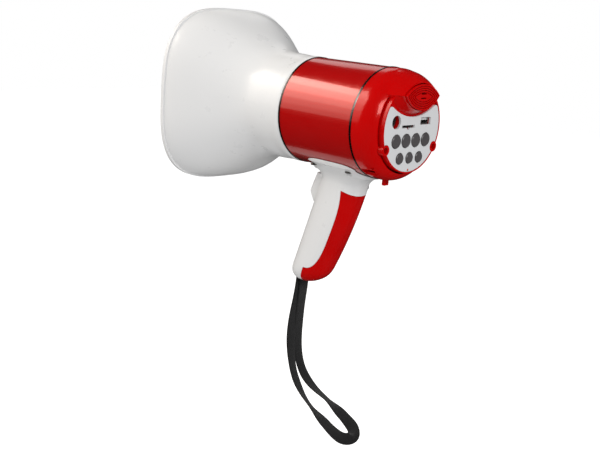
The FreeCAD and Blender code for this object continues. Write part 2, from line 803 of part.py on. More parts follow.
def make_sockets():
    jack_spot = ("jack_across", "board_front + board_thickness", "axis_height + jack_up")
    barrel = rod("dc_jack_barrel", "jack_radius", "7.4", jack_spot)
    bore = rod("dc_jack_bore", "jack_bore", "9",
               (jack_spot[0], "board_front + board_thickness + 1.5", jack_spot[2]))
    keep(cut("dc_jack", barrel, bore))
    pin_start = ("jack_across", "board_front + board_thickness + 1.5", "axis_height + jack_up")
    keep(rod("dc_pin", "jack_pin", "5.4", pin_start))
    for socket, depth in (("usb", 14), ("card", 9)):
        low = [f"{socket}_across - {socket}_width / 2", "72.6",
               f"axis_height + {socket}_up - {socket}_height / 2"]
        high = [f"{socket}_across + {socket}_width / 2", "72.6",
                f"axis_height + {socket}_up + {socket}_height / 2"]
        outside = block(socket + "_outside", (low[0], f"72.6 - {depth}", low[2]),
                        (high[0], "72.6", high[2]))
        wall = 0.35
        inside = block(socket + "_inside", (f"{low[0]} + {wall}", f"73.6 - {depth}", f"{low[2]} + {wall}"),
                       (f"{high[0]} - {wall}", "80", f"{high[2]} - {wall}"))
        keep(cut({"usb": "usb_shell", "card": "card_socket"}[socket], outside, inside))
    keep(block("usb_tongue", ("usb_across - 5.5", "59.6", "axis_height + usb_up + 0.2"),
               ("usb_across + 5.5", "71.6", "axis_height + usb_up + 2")))
    # The lens's shoulder stands in the cover's hole and stops against the panel's back.
    lens = lathe("status_led", [
        ("0", "0"),
        ("led_radius + 0.35", "0"),
        ("led_radius + 0.35", "panel_back - led_back - 0.05"),
        ("led_radius", "panel_back - led_back - 0.05"),
        ("led_radius", "6.3"),
        ("0", "6.6"),
    ], ("0", "led_back", "axis_height - led_down"))
    keep(lens)


def make_buttons():
    for name, across, up, radius in button_spots():
        keep(lathe(name, [
            ("0", "0"),
            ("button_stem", "0"),
            ("button_stem", "4.4"),
            (f"{radius} + button_flange", "4.4"),
            (f"{radius} + button_flange", "5.3"),
            (radius, "5.3"),
            (radius, "button_length - 0.5"),
            (f"{radius} - 0.5", "button_length"),
            ("0", "button_length - 0.25"),
        ], (across, "button_back", f"axis_height + {up}")))


def make_board():
    disc = rod("board_disc", "board_radius", "board_thickness", ("0", "board_front", "axis_height"))
    window = block("board_usb_window",
                   ("usb_across - usb_width / 2 - 0.3", "board_front - 1",
                    "axis_height + usb_up - usb_height / 2 - 0.3"),
                   ("usb_across + usb_width / 2 + 0.3", "board_front + 4",
                    "axis_height + usb_up + usb_height / 2 + 0.3"))
    mic_room = rod("board_mic_room", "8", "6", ("0", "board_front - 2", "axis_height + tip_height"))
    keep(cut("main_board", disc, window, mic_room))
    switches = []
    for name, across, up, _ in button_spots():
        base = block(name + "_switch_base",
                     (f"{across} - 3", "board_front + board_thickness", f"axis_height + {up} - 3"),
                     (f"{across} + 3", "board_front + board_thickness + 3.2", f"axis_height + {up} + 3"))
        plunger = rod(name + "_plunger", "1.7", "0.8",
                      (across, "board_front + board_thickness + 3.1", f"axis_height + {up}"))
        switches.append(join(name + "_switch", base, plunger))
    keep(group("tact_switches", *switches))
    amplifier = block("amplifier_chip", ("4", "board_front - 2.4", "axis_height - 12"),
                      ("17", "board_front", "axis_height - 6"))
    decoder = block("decoder_chip", ("-18", "board_front - 1.6", "axis_height - 14"),
                    ("-8", "board_front", "axis_height - 4"))
    capacitors = []
    for number, (x, z) in enumerate(((18, 8), (6, 10), (-4, -24))):
        capacitors.append(rod(f"capacitor_{number}", "4", "9",
                              (str(x), "board_front - 9", f"axis_height + {z}")))
    coil = rod("choke", "4.5", "5", ("12", "board_front - 5", "axis_height - 20"))
    keep(group("board_components", amplifier, decoder, coil, *capacitors))


def make_cover_screws():
    screws = []
    for side in (-1, 1):
        x, z = f"{side} * screw_across", "axis_height - screw_down"
        shank = rod(f"cover_shank_{side + 1}", "1.1", "8.5", (x, "cover_front - 8", z))
        head = rod(f"cover_head_{side + 1}", "2.1", "1.2", (x, "cover_front + 0.5", z))
        cross = [block(f"cover_cross_{side + 1}_a", (f"{x} - 1.4", "cover_front + 1.1", f"{z} - 0.25"),
                       (f"{x} + 1.4", "cover_front + 2", f"{z} + 0.25")),
                 block(f"cover_cross_{side + 1}_b", (f"{x} - 0.25", "cover_front + 1.1", f"{z} - 1.4"),
                       (f"{x} + 0.25", "cover_front + 2", f"{z} + 1.4"))]
        screws.append(cut(f"cover_screw_{side + 1}", join(f"cover_screw_blank_{side + 1}", shank, head),
                          *cross))
    keep(group("cover_screws", *screws))


# ---- handle ---------------------------------------------------------------------------------------------------

def grip_section(level, wall):
    """Front, back, half width and power of the handle's level cross-section, drawn in by a wall."""
    front = value("grip_front") + value("grip_front_lean") * level
    back = value("grip_back") + value("grip_back_lean") * level - value("grip_back_curve") * level ** 2
    half, power = value("grip_half_width"), 2.4
    start, end = value("foot_start"), value("foot_end")
    if level < start:
        way = min((start - level) / (start - end), 1)
        shrink = (1 - way ** value("foot_power")) ** (1 / value("foot_power"))
        middle, depth = (front + back) / 2, (back - front) / 2 * shrink
        front, back, half = middle - depth, middle + depth, half * shrink
    low, high = value("saddle_fillet_start"), value("saddle_fillet_top")
    if level > low and wall == 0:
        way = min((level - low) / (high - low), 1)
        swell = 1 - math.sqrt(1 - way * way)
        front += (value("saddle_front") - front) * swell
        back += (value("saddle_back") - back) * swell
        fillet = value("saddle_fillet")
        rise = min(level - low, fillet - 0.05)
        half = min(half + fillet - math.sqrt(fillet ** 2 - rise ** 2), value("saddle_half_width"))
        power += 1.6 * min((level - low) / (fillet - 2), 1)
    return front + wall, back - wall, half - wall, power


def half_section(level, wall, side):
    """The wire round the handle's level section on one side of X = 0."""
    front, back, half, power = grip_section(level, wall)
    middle, depth = (front + back) / 2, (back - front) / 2
    points = []
    for step in range(SECTION_POINTS // 2 + 1):
        turn = math.pi * (2 * step / SECTION_POINTS - 0.5)
        across, along = math.cos(turn), math.sin(turn)
        reach = (abs(across) ** power + abs(along) ** power) ** (-1 / power)
        points.append(Vector(side * half * reach * across, middle + depth * reach * along, level))
    points[0].x = points[-1].x = 0
    curve = Part.BSplineCurve()
    outward = Vector(side, 0, 0)
    curve.interpolate(Points=points, InitialTangent=outward, FinalTangent=outward * -1)
    return Part.Wire([curve.toShape(), Part.LineSegment(points[-1], points[0]).toShape()])


def grip_half(name, wall, levels, side):
    """The half of the handle on one side of X = 0, lofted from level to level."""
    return free_shape(name,
                      Part.makeLoft([half_section(level, wall, side) for level in levels], True, True))


def cover_tool(name, gap):
    """Everything behind the curved seam of the battery cover and under its foot, pulled back by a gap."""
    seam = [(7 + gap, 49.2 - gap), (9.6 + gap, 40), (11.8 + gap, 10), (11.0 + gap, -12), (6.0 + gap, -25),
            (0.6 + gap, -28 - gap)]
    turn = Rotation(UP_THE_GRIP)
    points = [turn.multVec(Vector(-40, along, up)) for along, up in seam]
    far = [turn.multVec(Vector(-40, along, up)) for along,
           up in ((0.6 + gap, -60), (60, -60), (60, 49.2 - gap))]
    curve = Part.BSplineCurve()
    curve.interpolate(points)
    edges = [curve.toShape()]
    for begin, end in zip([points[-1]] + far, far + [points[0]]):
        edges.append(Part.LineSegment(begin, end).toShape())
    return free_shape(name, Part.Face(Part.Wire(edges)).extrude(Vector(80, 0, 0)))


def local(across, along, up):
    """A point given in the grip's own leaning frame, in the part's frame."""
    return UP_THE_GRIP.multVec(Vector(across, along, up))


def handle_screw_spots():
    """Y and Z of the three screws that close the handle."""
    low, high = local(0, -11, -20), local(0, -11, 14)
    return [(low.y, low.z), (high.y, high.z), (29, 46)]


def make_handle():
    wall = value("grip_wall")
    band_start = ("0", "-60", "axis_height")
    band_room = rod("handle_band_room", "ring_radius + 0.02", "200", band_start)
    cover_band_room = rod("battery_cover_band_room", "ring_radius + 1", "200", band_start)
    trigger_room = block("handle_trigger_room",
                         ("-(trigger_half_width + trigger_gap)", "-20", "23.4"),
                         ("trigger_half_width + trigger_gap", "1.6", "53"))
    strap_room = block("handle_strap_room", ("-6", "strap_bar_y - 4.6", "-46"),
                       ("6", "strap_bar_y + 4.6", "-33.2"))
    pin_bore = rod("handle_pin_bore", "pin_radius + 0.01", "2 * pin_half_length",
                   ("-pin_half_length", "pin_y", "pin_z"), "X")
    bar_bore = rod("handle_bar_bore", "strap_bar_radius + 0.01", "22",
                   ("-11", "strap_bar_y", "strap_bar_z"), "X")
    cover_room = cover_tool("handle_cover_room", -value("cover_gap"))
    cover_shape = cover_tool("battery_cover_tool", 0)
    drills = []
    for number, (y, z) in enumerate(handle_screw_spots()):
        drills.append(rod(f"handle_drill_{number}", "1.25", "19", ("-11", f"{y:.3f}", f"{z:.3f}"), "X"))
        drills.append(rod(f"handle_sink_{number}", "2.6", "20", ("-29.8", f"{y:.3f}", f"{z:.3f}"), "X"))
    for number, (x, y) in enumerate(screw_spots()):
        drills.append(rod(f"saddle_drill_{number}", "1.4", "20", (str(x), str(y), "55"), "Z"))
        drills.append(rod(f"saddle_sink_{number}", "2.9", "14", (str(x), str(y), "47.4"), "Z"))
    rooms = join("handle_rooms", band_room, trigger_room, strap_room, pin_bore, bar_bore, cover_room,
                 *drills)
    cover_halves = []
    for side, name in ((-1, "left"), (1, "right")):
        blank = grip_half(f"handle_{name}_blank", 0, GRIP_LEVELS, side)
        core = grip_half(f"handle_{name}_core", wall, CORE_LEVELS, side)
        bosses = [rod(f"handle_{name}_boss_{number}", "2.7", "40",
                      (str(min(0, 40 * side)), f"{y:.3f}", f"{z:.3f}"), "X")
                  for number, (y, z) in enumerate(handle_screw_spots())]
        core_round_bosses = cut(f"handle_{name}_core_round_bosses", core, *bosses)
        shell = cut(f"handle_{name}_shell", blank, core_round_bosses)
        whole = cut(f"handle_{name}", shell, rooms)
        whole.Refine = True
        keep(whole)
        outside = overlap(f"battery_cover_{name}_outside", blank, cover_shape)
        cover_halves.append(cut(f"battery_cover_{name}", outside, core, cover_band_room))
    keep(join("battery_cover", *cover_halves))


def make_handle_screws():
    screws = []
    for number, (y, z) in enumerate(handle_screw_spots()):
        shank = rod(f"handle_shank_{number}", "1.2", "17", ("-10", f"{y:.3f}", f"{z:.3f}"), "X")
        head = rod(f"handle_head_{number}", "2.3", "1.2", ("-11", f"{y:.3f}", f"{z:.3f}"), "X")
        screws.append(join(f"handle_screw_{number}", shank, head))
    keep(group("handle_screws", *screws))
    screws = []
    for number, (x, y) in enumerate(screw_spots()):
        shank = rod(f"saddle_shank_{number}", "1.35", "9", (str(x), str(y), "60.4"), "Z")
        head = rod(f"saddle_head_{number}", "2.6", "1", (str(x), str(y), "60.3"), "Z")
        screws.append(join(f"saddle_screw_{number}", shank, head))
    keep(group("saddle_screws", *screws))


def make_battery():
    bottom = local(0, value("cell_offset"), value("cell_bottom"))
    cell = doc.addObject("Part::Cylinder", "battery_cell")
    bind(cell, "Radius", "cell_radius")
    bind(cell, "Height", "cell_length")
    cell.Placement = Placement(bottom, UP_THE_GRIP)
    keep(cell)
    tabs = []
    for number, level in enumerate((value("cell_bottom") - 0.4, value("cell_bottom + cell_length"))):
        tab = doc.addObject("Part::Cylinder", f"battery_tab_{number}")
        bind(tab, "Radius", "cell_radius - 4.5")
        tab.Height = 0.4
        tab.Placement = Placement(local(0, value("cell_offset"), level), UP_THE_GRIP)
        tabs.append(tab)
    keep(group("battery_tabs", *tabs))


def make_trigger():
    body = doc.addObject("PartDesign::Body", "trigger_lever")
    sketch = body.newObject("Sketcher::SketchObject", "trigger_profile")
    sketch.AttachmentSupport = [(origin_plane(body, "YZ_Plane"), "")]
    sketch.MapMode = "FlatFace"
    corners = [(-2, 51.6), (-9.4, 52.2), (-12.4, 45.2), (-15.6, 36.2), (-14.9, 34.2), (-11.6, 28),
               (-9.4, 26.6),
               (-7.6, 27), (-3.6, 31.5), (3.2, 39.5), (3.8, 49), (2.2, 51.4)]
    points = [Vector(y, z, 0) for y, z in corners]
    for begin, end in zip(points, points[1:] + points[:1]):
        sketch.addGeometry(Part.LineSegment(begin, end))
    pad = body.newObject("PartDesign::Pad", "trigger_pad")
    pad.Profile = sketch
    pad.Midplane = True
    bind(pad, "Length", "2 * trigger_half_width")
    doc.recompute()
    edges = []
    for number, edge in enumerate(pad.Shape.Edges, 1):
        on_side = edge.BoundBox.XLength < 0.01
        if on_side and edge.BoundBox.YMax < -6.5:
            edges.append(f"Edge{number}")
    rounding = body.newObject("PartDesign::Fillet", "trigger_rounding")
    rounding.Base = (pad, edges)
    rounding.Radius = 2.6
    body.Tip = rounding
    pin_hole = rod("trigger_pin_hole", "pin_radius + pin_clearance", "40", ("-20", "pin_y", "pin_z"), "X")
    spring_room = rod("trigger_spring_room", "4.6", "5.4", ("-2.7", "pin_y", "pin_z"), "X")
    keep(cut("trigger", body, pin_hole, spring_room))
    keep(rod("trigger_pin", "pin_radius", "2 * pin_half_length", ("-pin_half_length", "pin_y", "pin_z"),
             "X"))


def make_trigger_spring():
    """A torsion spring wound round the trigger's pin, in the slot in its hub."""
    turns, wire, coil = 4, 0.35, 2.2
    pitch = 1.0
    helix = Part.makeHelix(pitch, pitch * turns, coil)
    circle = Part.Circle(Vector(coil, 0, 0), Vector(0, 1, 0), wire).toShape()
    spring = Part.Wire(helix).makePipeShell([Part.Wire(circle)], True, True)
    feature = free_shape("trigger_spring", spring)
    start = Vector(-pitch * turns / 2, value("pin_y"), value("pin_z"))
    feature.Placement = Placement(start, ALONG["X"])
    keep(feature)


def make_trigger_switch():
    case = block("switch_case", ("-3", "7", "39"), ("3", "13", "50"))
    plunger = block("switch_plunger", ("-1.4", "5.8", "41"), ("1.4", "7.2", "43"))
    keep(join("trigger_switch", case, plunger))


# ---- strap ----------------------------------------------------------------------------------------------------

def make_strap():
    start = ("-11", "strap_bar_y", "strap_bar_z")
    keep(rod("strap_bar", "strap_bar_radius", "22", start, "X"))
    solid, length, radii = tube_along(STRAP_ROUTE, value("strap_radius"))
    expected = math.pi * value("strap_radius") ** 2 * length
    print("strap length", round(length, 1), "volume ratio", round(solid.Volume / expected, 4))
    print("strap arc radii", [round(radius, 1) for radius in radii])
    keep(free_shape("wrist_strap", solid))


def write_parts():
    doc.recompute()
    faults = []
    for obj in doc.Objects:
        if "Invalid" in obj.State or "Error" in obj.State:
            faults.append(f"{obj.Name}: {obj.State}")
    for obj in kept:
        if obj.Shape.isNull() or not obj.Shape.isValid() or not obj.Shape.Solids:
            faults.append(f"{obj.Label}: no valid solid")
    if faults:
        raise SystemExit("\n".join(faults))
    for obj in kept:
        obj.Shape.exportStep(f"parts/{obj.Label}.step")
        print(f"{obj.Label}: {len(obj.Shape.Solids)} solid(s), {obj.Shape.Volume:.0f} mm3")
    print(len(kept), "sub-parts")


fill_sheet()
make_horn()
make_driver_mount()
make_reflector()
make_throat_tube()
make_barrel("body_band", "barrel_radius", "band_radius")
make_barrel("body_barrel", "barrel_bore", "barrel_radius")
make_ring("front_trim_ring", "neck_front")
make_ring("rear_trim_ring", "band_back")
make_driver()
make_rear_cap()
make_rear_cover()
make_mic_head()
make_control_panel()
make_sockets()
make_buttons()
make_board()
make_cover_screws()
make_handle()
make_handle_screws()
make_battery()
make_trigger()
make_trigger_spring()
make_trigger_switch()
make_strap()
write_parts()
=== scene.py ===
import json
import math

import bmesh
import bpy
from mathutils import Matrix, Vector


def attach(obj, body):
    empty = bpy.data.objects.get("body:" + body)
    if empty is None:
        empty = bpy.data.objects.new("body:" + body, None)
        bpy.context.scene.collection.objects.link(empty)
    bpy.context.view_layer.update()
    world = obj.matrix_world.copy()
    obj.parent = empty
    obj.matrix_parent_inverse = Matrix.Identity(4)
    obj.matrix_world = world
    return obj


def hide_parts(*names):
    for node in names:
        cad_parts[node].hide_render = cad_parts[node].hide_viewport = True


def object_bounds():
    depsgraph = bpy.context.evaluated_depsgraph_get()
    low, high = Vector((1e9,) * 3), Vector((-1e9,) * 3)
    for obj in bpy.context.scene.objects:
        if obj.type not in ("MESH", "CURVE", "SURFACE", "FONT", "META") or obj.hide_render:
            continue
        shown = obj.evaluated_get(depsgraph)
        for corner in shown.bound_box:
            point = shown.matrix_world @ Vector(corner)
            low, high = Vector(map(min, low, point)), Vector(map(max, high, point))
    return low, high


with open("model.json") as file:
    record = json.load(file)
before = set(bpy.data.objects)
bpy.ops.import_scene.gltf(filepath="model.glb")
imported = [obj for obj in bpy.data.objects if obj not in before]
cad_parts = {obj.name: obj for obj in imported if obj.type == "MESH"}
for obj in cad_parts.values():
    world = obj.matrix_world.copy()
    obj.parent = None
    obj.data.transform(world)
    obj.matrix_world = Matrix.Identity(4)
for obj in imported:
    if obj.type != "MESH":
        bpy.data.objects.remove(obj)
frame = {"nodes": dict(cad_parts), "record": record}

# A handheld megaphone on a white studio sweep. Metres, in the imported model's frame: +Z up, the horn's mouth
# faces -Y, the control panel faces +Y and the horn's axis is 0.1 above the middle of the grip.

cad_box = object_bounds()
nodes = frame["nodes"]
scene = bpy.context.scene
MM = 0.001

# ---- camera ------------------------------------------------------------------------------------------

VIEW_FROM = Vector((0.7068, 0.6652, 0.2407))
CAMERA_PLACE = Vector((0.5190, 0.4588, 0.1793))
ROLL = math.radians(4.60)
LENS, SENSOR = 52.53, 36
NEAREST, FARTHEST = 0.01, 50


def add_camera():
    """A camera that looks against VIEW_FROM, rolled a little about its own axis."""
    toward = VIEW_FROM.normalized()
    flat = Vector((-toward.y, toward.x, 0)).normalized()
    up = toward.cross(flat)
    right_axis = flat * math.cos(ROLL) + up * math.sin(ROLL)
    up_axis = up * math.cos(ROLL) - flat * math.sin(ROLL)
    data = bpy.data.cameras.new("camera")
    data.lens = LENS
    data.sensor_width = SENSOR
    data.clip_start = NEAREST
    data.clip_end = FARTHEST
    camera = bpy.data.objects.new("camera", data)
    scene.collection.objects.link(camera)
    turn = Matrix((right_axis, up_axis, toward)).transposed()
    camera.matrix_world = Matrix.Translation(CAMERA_PLACE) @ turn.to_4x4()
    scene.camera = camera


add_camera()

# ---- materials ---------------------------------------------------------------------------------------


class Graph:
    """A material's node tree with short calls."""

    def __init__(self, name):
        self.material = bpy.data.materials.new(name)
        self.material.use_nodes = True
        self.tree = self.material.node_tree
        self.shader = self.tree.nodes["Principled BSDF"]

    def add(self, kind, **settings):
        node = self.tree.nodes.new(kind)
        for name, content in settings.items():
            if name in node.inputs:
                node.inputs[name].default_value = content
            else:
                setattr(node, name, content)
        return node

    def link(self, start, end):
        self.tree.links.new(start, end)

    def noise(self, scale, detail=4.0, roughness=0.5):
        place = self.add("ShaderNodeTexCoord")
        grain = self.add("ShaderNodeTexNoise", Scale=scale, Detail=detail, Roughness=roughness)
        self.link(place.outputs["Object"], grain.inputs["Vector"])
        return grain.outputs["Fac"]

    def ramp(self, source, low, high, start=0.3, end=0.7):
        spread = self.add("ShaderNodeMapRange")
        spread.inputs["From Min"].default_value = start
        spread.inputs["From Max"].default_value = end
        spread.inputs["To Min"].default_value = low
        spread.inputs["To Max"].default_value = high
        self.link(source, spread.inputs["Value"])
        return spread.outputs["Result"]

    def colours(self, source, *stops):
        ramp = self.add("ShaderNodeValToRGB")
        elements = ramp.color_ramp.elements
        while len(elements) < len(stops):
            elements.new(0.5)
        for element, (position, colour) in zip(elements, stops):
            element.position = position
            element.color = (*colour, 1)
        self.link(source, ramp.inputs["Fac"])
        return ramp.outputs["Color"]

    def bump(self, source, strength, distance):
        rough = self.add("ShaderNodeBump", Strength=strength, Distance=distance)
        self.link(source, rough.inputs["Height"])
        self.link(rough.outputs["Normal"], self.shader.inputs["Normal"])

    def set(self, **sockets):
        for name, content in sockets.items():
            self.shader.inputs[name.replace("_", " ")].default_value = content


def moulded(name, colour, roughness=0.22, variation=0.06, grain=900, strength=0.05, coat=0.0, specular=0.5,
            tint=(1, 1, 1), painted_groove_shade=0.0):
    """Moulded plastic: a slight drift of colour and gloss, a fine skin and, if asked for, painted shade that
    darkens the colour in grooves and corners.
    """
    graph = Graph(name)
    drift = graph.noise(22, 3)
    dark = tuple(channel * (1 - variation) for channel in colour)
    light = tuple(min(1, channel * (1 + variation)) for channel in colour)
    paint = graph.colours(drift, (0.3, dark), (0.7, light))
    if painted_groove_shade:
        # Painted shade: ambient occlusion darkens the base colour towards a fifth of itself in grooves and
        # corners.
        corners = graph.add("ShaderNodeAmbientOcclusion", Distance=PAINTED_SHADE_REACH, samples=8)
        painted_shade_amount = graph.ramp(corners.outputs["AO"], 1 - painted_groove_shade, 1, 0.25, 0.62)
        mix = graph.add("ShaderNodeMix", data_type="RGBA", blend_type="MIX")
        mix.inputs["A"].default_value = (*(channel * 0.2 for channel in colour), 1)
        graph.link(painted_shade_amount, mix.inputs["Factor"])
        graph.link(paint, mix.inputs["B"])
        paint = mix.outputs["Result"]
    graph.link(paint, graph.shader.inputs["Base Color"])
    smudge = graph.noise(70, 5, 0.65)
    graph.link(graph.ramp(smudge, roughness * 0.85, roughness * 1.25), graph.shader.inputs["Roughness"])
    graph.bump(graph.noise(grain, 2), strength, 0.0002)
    graph.set(Specular_IOR_Level=specular, Coat_Weight=coat, Coat_Roughness=0.06, Specular_Tint=(*tint, 1))
    return graph.material


def metal(name, colour, roughness=0.25, brushed=(1, 1, 1)):
    """Plain metal with fine lines, which run along the direction with the smallest number in brushed."""
    graph = Graph(name)
    place = graph.add("ShaderNodeTexCoord")
    stretch = graph.add("ShaderNodeMapping")
    stretch.inputs["Scale"].default_value = brushed
    graph.link(place.outputs["Object"], stretch.inputs["Vector"])
    lines = graph.add("ShaderNodeTexNoise", Scale=1400.0, Detail=3.0)
    graph.link(stretch.outputs["Vector"], lines.inputs["Vector"])
    fac = lines.outputs["Fac"]
    shaded = tuple(channel * 0.85 for channel in colour)
    graph.link(graph.colours(fac, (0.3, shaded), (0.7, colour)), graph.shader.inputs["Base Color"])
    graph.link(graph.ramp(fac, roughness * 0.7, roughness * 1.4), graph.shader.inputs["Roughness"])
    graph.bump(fac, 0.08, 0.0001)
    graph.set(Metallic=1.0)
    return graph.material


def lacquer(name):
    """Deep red lacquer over a fine metallic flake."""
    graph = Graph(name)
    place = graph.add("ShaderNodeTexCoord")
    flake = graph.add("ShaderNodeTexVoronoi", Scale=3200.0)
    graph.link(place.outputs["Object"], flake.inputs["Vector"])
    paint = graph.colours(flake.outputs["Distance"],
                          (0.1, (0.56, 0.0002, 0.0008)), (0.8, (0.46, 0.0001, 0.0006)))
    graph.link(paint, graph.shader.inputs["Base Color"])
    graph.link(graph.ramp(graph.noise(60, 4), 0.19, 0.24), graph.shader.inputs["Roughness"])
    graph.bump(flake.outputs["Distance"], 0.03, 0.0001)
    graph.set(Metallic=0.15, Coat_Weight=0.65, Coat_Roughness=0.05, Specular_IOR_Level=0.6,
              Specular_Tint=(1.0, 0.75, 0.62, 1))
    return graph.material


def woven(name):
    """Black webbing: a tight weave with a raised rib, from the ribbon's own length and width."""
    graph = Graph(name)
    uv = graph.add("ShaderNodeUVMap", uv_map="length_width")
    split = graph.add("ShaderNodeSeparateXYZ")
    graph.link(uv.outputs["UV"], split.inputs["Vector"])

    def threads(socket, count, phase):
        turn = graph.add("ShaderNodeMath", operation="MULTIPLY_ADD")
        turn.inputs[1].default_value = count * math.tau
        turn.inputs[2].default_value = phase
        graph.link(socket, turn.inputs[0])
        wave = graph.add("ShaderNodeMath", operation="SINE")
        graph.link(turn.outputs[0], wave.inputs[0])
        return wave.outputs[0]

    weft = threads(split.outputs["X"], 900, 0)
    warp = threads(split.outputs["Y"], 650, 0.8)
    weave = graph.add("ShaderNodeMath", operation="MULTIPLY")
    graph.link(weft, weave.inputs[0])
    graph.link(warp, weave.inputs[1])
    fuzz = graph.add("ShaderNodeMath", operation="MULTIPLY_ADD")
    fuzz.inputs[1].default_value = 0.8
    graph.link(graph.noise(2600, 3), fuzz.inputs[0])
    graph.link(weave.outputs[0], fuzz.inputs[2])
    graph.link(graph.colours(graph.ramp(fuzz.outputs[0], 0, 1, -0.8, 1.5),
                             (0.0, (0.002, 0.002, 0.002)), (1.0, (0.016, 0.016, 0.017))),
               graph.shader.inputs["Base Color"])
    graph.bump(fuzz.outputs[0], 0.7, 0.0003)
    graph.set(Roughness=0.82, Sheen_Weight=0.12, Sheen_Roughness=0.5, Specular_IOR_Level=0.25)
    return graph.material


# Colour of the red plastic's highlights, and how far the painted shade in its grooves reaches.
RED_TINT = (1.0, 0.42, 0.38)
PAINTED_SHADE_REACH = 1.6 * MM

MATERIALS = {
    "white_plastic": moulded("white_plastic", (0.79, 0.79, 0.79), 0.30, 0.006, 1100, 0.012, 0.15),
    # The red plastic has painted shade that darkens its grooves and corners.
    "red_plastic": moulded("red_plastic", (0.54, 0.0004, 0.0006), 0.17, 0.05, 1300, 0.015, 0.12,
                           tint=RED_TINT, painted_groove_shade=0.8),
    "band_red": lacquer("band_red"),
    "ring_metal": metal("ring_metal", (0.11, 0.095, 0.09), 0.22, (1, 0.1, 1)),
    "inner_plastic": moulded("inner_plastic", (0.03, 0.03, 0.03), 0.5, 0.2, 700, 0.2),
    "panel_grey": moulded("panel_grey", (0.66, 0.67, 0.68), 0.30, 0.015, 2200, 0.05),
    "button_grey": moulded("button_grey", (0.085, 0.080, 0.082), 0.32, 0.10, 1500, 0.08),
    "black_plastic": moulded("black_plastic", (0.02, 0.02, 0.02), 0.35, 0.2, 900, 0.1),
    "soft_rubber": moulded("soft_rubber", (0.03, 0.03, 0.03), 0.7, 0.2, 600, 0.3),
    "screw_steel": metal("screw_steel", (0.55, 0.53, 0.50), 0.28),
    "zinc_steel": metal("zinc_steel", (0.62, 0.62, 0.60), 0.30, (1, 1, 0.1)),
    "ferrite": moulded("ferrite", (0.05, 0.05, 0.052), 0.6, 0.2, 500, 0.4),
    "clear_film": moulded("clear_film", (0.55, 0.32, 0.10), 0.25, 0.1, 800, 0.1),
    "copper": metal("copper", (0.80, 0.35, 0.18), 0.3, (1, 8, 1)),
    "capsule_metal": metal("capsule_metal", (0.60, 0.60, 0.62), 0.3),
    "led_lens": moulded("led_lens", (0.55, 0.08, 0.05), 0.12, 0.05, 900, 0.02),
    "board_green": moulded("board_green", (0.02, 0.16, 0.06), 0.35, 0.15, 300, 0.2),
    "cell_sleeve": moulded("cell_sleeve", (0.06, 0.22, 0.55), 0.25, 0.08, 200, 0.1),
    "webbing": woven("webbing"),
}
SLOTS = {entry["node"]: entry["material_slot"] for entry in frame["record"]["subparts"]}
for name, node in nodes.items():
    node.data.materials.clear()
    node.data.materials.append(MATERIALS[SLOTS[name]])


def finish_piece(piece, name_of_slot, body, *replaced):
    """Gives a piece the material named by a slot and a body, and hides the CAD nodes that it stands for."""
    piece.data.materials.clear()
    piece.data.materials.append(MATERIALS[name_of_slot])
    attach(piece, body)
    if replaced:
        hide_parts(*replaced)
    return piece


# ---- moulded shells, smoothed ------------------------------------------------------------------------

# Each moulding with its body and the angle, in degrees, above which an edge stays sharp.
SMOOTH = {
    "horn": ("housing", 32),
    "handle_left": ("housing", 24),
    "handle_right": ("housing", 24),
    "rear_cap": ("housing", 24),
    "rear_cover": ("housing", 28),
    "battery_cover": ("battery_cover", 24),
    "trigger": ("trigger", 28),
}
SAME_PLACE = 0.002 * MM


def smooth_copy(name, body, angle):
    """The moulding's surface with its facets joined, creased only where it really turns a corner."""
    mesh = nodes[name].data.copy()
    mesh.name = name + "_skin"
    work = bmesh.new()
    work.from_mesh(mesh)
    bmesh.ops.remove_doubles(work, verts=work.verts, dist=SAME_PLACE)
    bmesh.ops.dissolve_degenerate(work, edges=work.edges, dist=SAME_PLACE)
    limit = math.radians(angle)
    for face in work.faces:
        face.smooth = True
    for edge in work.edges:
        edge.smooth = len(edge.link_faces) == 2 and edge.calc_face_angle(0) < limit
    work.to_mesh(mesh)
    work.free()
    if "custom_normal" in mesh.attributes:
        mesh.attributes.remove(mesh.attributes["custom_normal"])
    piece = bpy.data.objects.new(name + "_skin", mesh)
    scene.collection.objects.link(piece)
    even = piece.modifiers.new("even_normals", "WEIGHTED_NORMAL")
    even.mode = "FACE_AREA"
    even.weight = 50
    even.keep_sharp = True
    return finish_piece(piece, SLOTS[name], body, name)


for name, (body, angle) in SMOOTH.items():
    smooth_copy(name, body, angle)

# ---- wrist strap -------------------------------------------------------------------------------------

STRAP_ROUTE = [
    (0.0006, -0.0234, -0.0330),
    (0.0010, -0.0234, -0.0460),
    (0.0024, -0.0244, -0.0620),
    (0.0040, -0.0260, -0.0800),
    (0.0052, -0.0254, -0.0970),
    (0.0062, -0.0215, -0.1134),
    (0.0070, -0.0150, -0.1281),
    (0.0076, -0.0012, -0.1425),
    (0.0082, 0.0170, -0.1510),
    (0.0086, 0.0340, -0.1585),
    (0.0066, 0.0444, -0.1620),
    (-0.0006, 0.0496, -0.1606),
    (-0.0072, 0.0440, -0.1570),
    (-0.0084, 0.0330, -0.1520),
    (-0.0073, 0.0148, -0.1434),
    (-0.0062, -0.0045, -0.1374),
    (-0.0060, -0.0177, -0.1281),
    (-0.0052, -0.0238, -0.1151),
    (-0.0045, -0.0260, -0.0990),
    (-0.0038, -0.0254, -0.0810),
    (-0.0024, -0.0234, -0.0630),
    (-0.0010, -0.0204, -0.0460),
    (-0.0006, -0.0202, -0.0330),
]
STRAP_WIDTH = 10 * MM
STRAP_THICKNESS = 1.2 * MM
SECTION_POINTS = 24

# The tape's turn in degrees, by share of its length, counted from a direction that it never runs along:
# edge on to that direction at 90, and across the grip at about 45 either way.
SIDE_GUIDE = VIEW_FROM
TAPE_TURNS = [(0.0, 47), (0.16, 46), (0.28, 58), (0.36, 84), (0.42, 50), (0.50, 22), (0.57, -38),
              (0.63, -80), (0.72, -50), (0.84, -46), (1.0, -46.6)]


